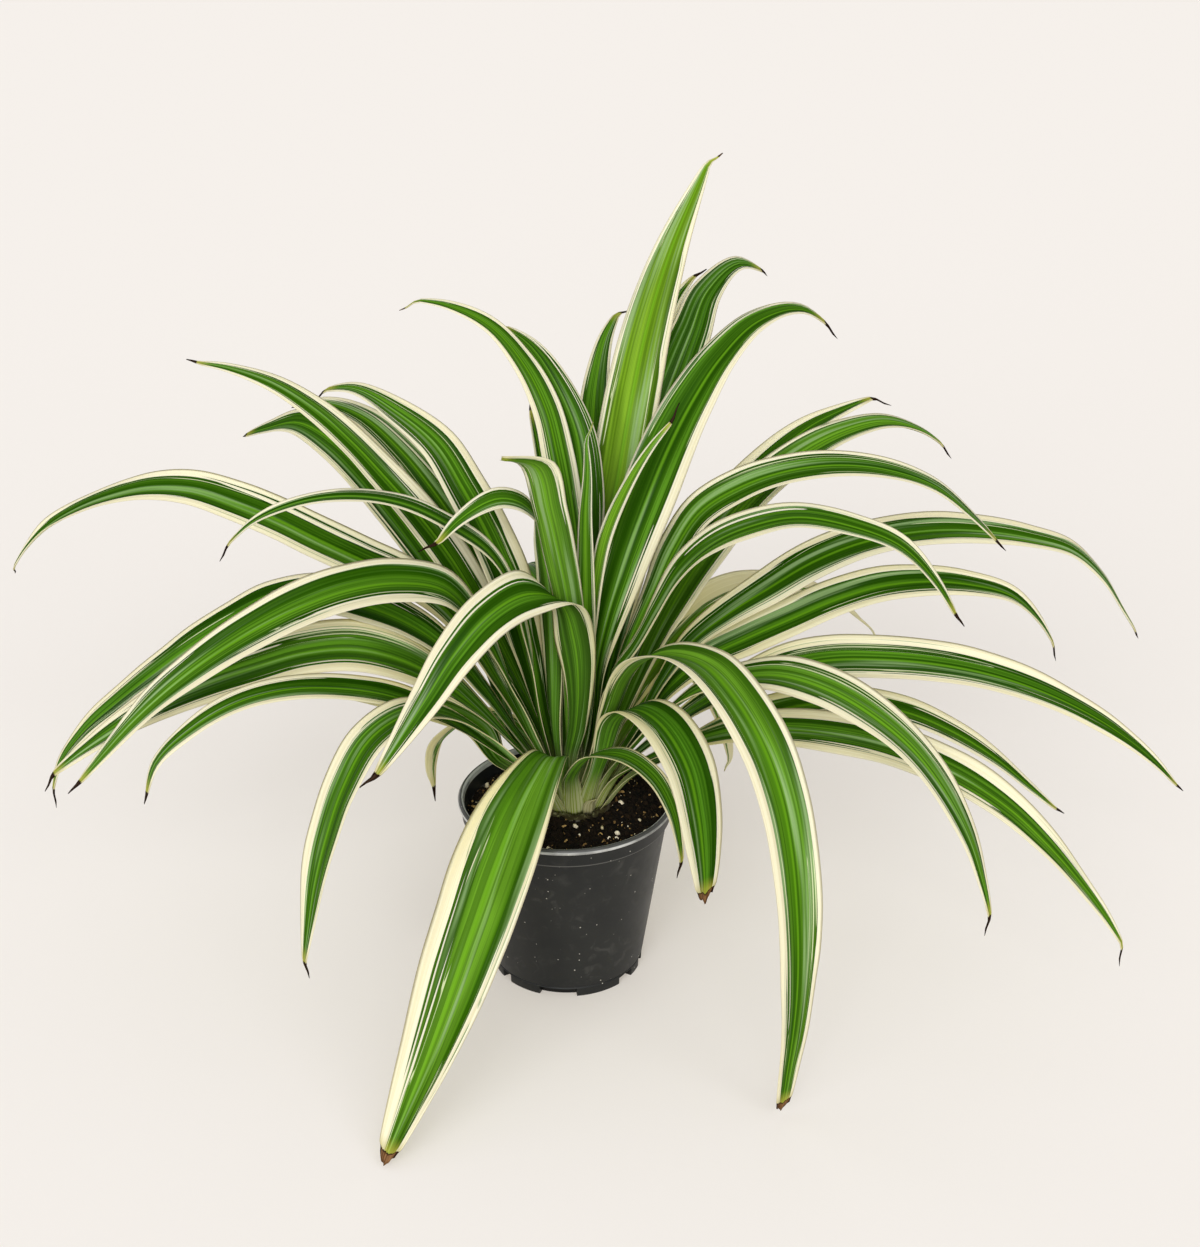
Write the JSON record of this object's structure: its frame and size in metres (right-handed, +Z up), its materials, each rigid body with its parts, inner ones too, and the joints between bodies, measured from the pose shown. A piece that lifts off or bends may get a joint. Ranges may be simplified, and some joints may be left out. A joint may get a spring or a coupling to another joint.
{
  "type": "potted spider plant",
  "caption": "Spider plant with long arching cream-edged green blades, growing from a crown in a small round black nursery pot filled with potting mix.",
  "frame": {"origin": "middle of the bounding box's bottom, which is the axis of the pot at the surface it stands on (within 3 mm)", "axes": "+Z up along the pot's axis, -Y towards the plant's front"},
  "size_m": [0.5775, 0.3327, 0.3834],
  "materials": {
    "pot": "satin black polypropylene, lightly dusty",
    "potting_mix": "damp dark potting mix with perlite grains",
    "crown": "pale green smooth stem tissue",
    "sheath": "dry papery leaf base",
    "leaf": "soft satin leaf surface, green with cream margins"
  },
  "bodies": {
    "root": {"crown": "crown", "leaf_back_01": "leaf", "leaf_back_02": "leaf", "leaf_back_03": "leaf", "leaf_back_04": "leaf", "leaf_back_05": "leaf", "leaf_back_06": "leaf", "leaf_front_01": "leaf", "leaf_front_02": "leaf", "leaf_front_03": "leaf", "leaf_front_04": "leaf", "leaf_front_05": "leaf", "leaf_front_06": "leaf", "leaf_left_01": "leaf", "leaf_left_02": "leaf", "leaf_left_03": "leaf", "leaf_left_04": "leaf", "leaf_left_05": "leaf", "leaf_left_06": "leaf", "leaf_left_07": "leaf", "leaf_left_08": "leaf", "leaf_left_09": "leaf", "leaf_left_10": "leaf", "leaf_left_11": "leaf", "leaf_left_12": "leaf", "leaf_right_01": "leaf", "leaf_right_02": "leaf", "leaf_right_03": "leaf", "leaf_right_04": "leaf", "leaf_right_05": "leaf", "leaf_right_06": "leaf", "leaf_right_07": "leaf", "leaf_right_08": "leaf", "leaf_right_09": "leaf", "leaf_right_10": "leaf", "leaf_right_11": "leaf", "leaf_up_behind": "leaf", "leaf_up_edge": "leaf", "leaf_up_far": "leaf", "leaf_up_inner": "leaf", "leaf_up_left": "leaf", "leaf_up_left_behind": "leaf", "leaf_up_middle": "leaf", "leaf_up_pale": "leaf", "leaf_up_right": "leaf", "leaf_up_tall": "leaf", "leaf_up_young": "leaf", "pot": "pot", "potting_mix": "potting_mix", "sheath_dry": "sheath"}
  },
  "joints": []
}
